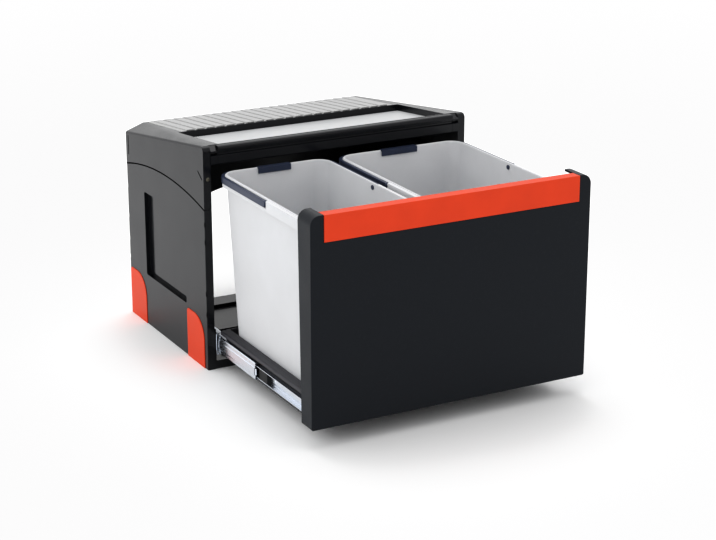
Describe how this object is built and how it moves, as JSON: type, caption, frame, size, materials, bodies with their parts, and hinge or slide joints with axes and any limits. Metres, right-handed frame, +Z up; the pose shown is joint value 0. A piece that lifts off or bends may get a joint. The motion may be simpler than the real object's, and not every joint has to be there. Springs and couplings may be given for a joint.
{
  "type": "pull out bin frame",
  "caption": "Under-sink pull-out bin unit: a housing with a sloping lid, ball-bearing slides, a tray with a front panel, and lift-out bins with carrying bails.",
  "frame": {"origin": "centre of the four base screws on the underside of the base, which stands on the cabinet floor", "axes": "+X to the right across the unit seen from the front, +Y to the back, +Z up; the front panel faces -Y"},
  "size_m": [0.448, 0.6527, 0.3481],
  "materials": {
    "black_plastic": "gloss",
    "panel_plastic": "satin",
    "orange_plastic": "satin",
    "bin_plastic": "satin",
    "slate_plastic": "satin",
    "pale_plastic": "satin",
    "tray_plastic": "satin",
    "zinc_steel": "zinc plated",
    "cage_steel": "plain",
    "ball_steel": "polished",
    "buffer_rubber": "matte"
  },
  "bodies": {
    "housing": {"base_frame": "black_plastic", "left_side_wall": "black_plastic", "right_side_wall": "black_plastic", "rear_wall": "black_plastic", "top_cover": "black_plastic", "ribbed_mat": "pale_plastic", "storage_insert": "pale_plastic", "front_rail": "black_plastic", "left_rail_end": "black_plastic", "right_rail_end": "black_plastic", "cover_screws": "zinc_steel", "left_front_clip": "orange_plastic", "left_rear_clip": "orange_plastic", "right_front_clip": "orange_plastic", "right_rear_clip": "orange_plastic", "left_slide_outer": "zinc_steel", "right_slide_outer": "zinc_steel", "outer_slide_screws": "zinc_steel"},
    "drawer": {"tray_frame": "tray_plastic", "front_panel": "panel_plastic", "handle_strip": "orange_plastic", "left_panel_bracket": "zinc_steel", "right_panel_bracket": "zinc_steel", "bracket_screws": "zinc_steel", "left_slide_inner": "zinc_steel", "right_slide_inner": "zinc_steel", "left_slide_buffer": "buffer_rubber", "right_slide_buffer": "buffer_rubber", "inner_slide_screws": "zinc_steel"},
    "left_middle": {"left_slide_middle": "zinc_steel"},
    "right_middle": {"right_slide_middle": "zinc_steel"},
    "left_bin": {"left_bin": "bin_plastic", "left_bin_pins": "slate_plastic"},
    "right_bin": {"right_bin": "bin_plastic", "right_bin_pins": "slate_plastic"},
    "left_bail": {"left_bin_bail": "slate_plastic"},
    "right_bail": {"right_bin_bail": "slate_plastic"},
    "left_outer_cage": {"left_outer_cage": "cage_steel", "left_outer_balls": "ball_steel"},
    "left_inner_cage": {"left_inner_cage": "cage_steel", "left_inner_balls": "ball_steel"},
    "right_outer_cage": {"right_outer_cage": "cage_steel", "right_outer_balls": "ball_steel"},
    "right_inner_cage": {"right_inner_cage": "cage_steel", "right_inner_balls": "ball_steel"}
  },
  "joints": [
    {"name": "drawer_slide", "type": "slide", "parent": "housing", "child": "drawer", "axis": [0, -1, 0], "range_m": [-0.302, 0]},
    {"name": "left_middle_slide", "type": "slide", "parent": "housing", "child": "left_middle", "axis": [0, -1, 0], "range_m": [-0.151, 0]},
    {"name": "left_outer_cage_slide", "type": "slide", "parent": "housing", "child": "left_outer_cage", "axis": [0, -1, 0], "range_m": [-0.0755, 0]},
    {"name": "left_inner_cage_slide", "type": "slide", "parent": "housing", "child": "left_inner_cage", "axis": [0, -1, 0], "range_m": [-0.2265, 0]},
    {"name": "right_middle_slide", "type": "slide", "parent": "housing", "child": "right_middle", "axis": [0, -1, 0], "range_m": [-0.151, 0]},
    {"name": "right_outer_cage_slide", "type": "slide", "parent": "housing", "child": "right_outer_cage", "axis": [0, -1, 0], "range_m": [-0.0755, 0]},
    {"name": "right_inner_cage_slide", "type": "slide", "parent": "housing", "child": "right_inner_cage", "axis": [0, -1, 0], "range_m": [-0.2265, 0]},
    {"name": "left_bin_lift", "type": "slide", "parent": "drawer", "child": "left_bin", "axis": [0, 0, 1], "range_m": [0, 0.32]},
    {"name": "left_bail_hinge", "type": "hinge", "parent": "left_bin", "child": "left_bail", "pos_m": [-0.115, -0.32032, 0.30475], "axis": [1, 0, 0], "range_deg": [0, 95]},
    {"name": "right_bin_lift", "type": "slide", "parent": "drawer", "child": "right_bin", "axis": [0, 0, 1], "range_m": [0, 0.32]},
    {"name": "right_bail_hinge", "type": "hinge", "parent": "right_bin", "child": "right_bail", "pos_m": [0.097, -0.32032, 0.30475], "axis": [1, 0, 0], "range_deg": [0, 95]}
  ],
  "couplings": [
    {"joint": "left_middle_slide", "follows": "drawer_slide", "ratio": 0.5},
    {"joint": "left_outer_cage_slide", "follows": "drawer_slide", "ratio": 0.25},
    {"joint": "left_inner_cage_slide", "follows": "drawer_slide", "ratio": 0.75},
    {"joint": "right_middle_slide", "follows": "drawer_slide", "ratio": 0.5},
    {"joint": "right_outer_cage_slide", "follows": "drawer_slide", "ratio": 0.25},
    {"joint": "right_inner_cage_slide", "follows": "drawer_slide", "ratio": 0.75}
  ]
}
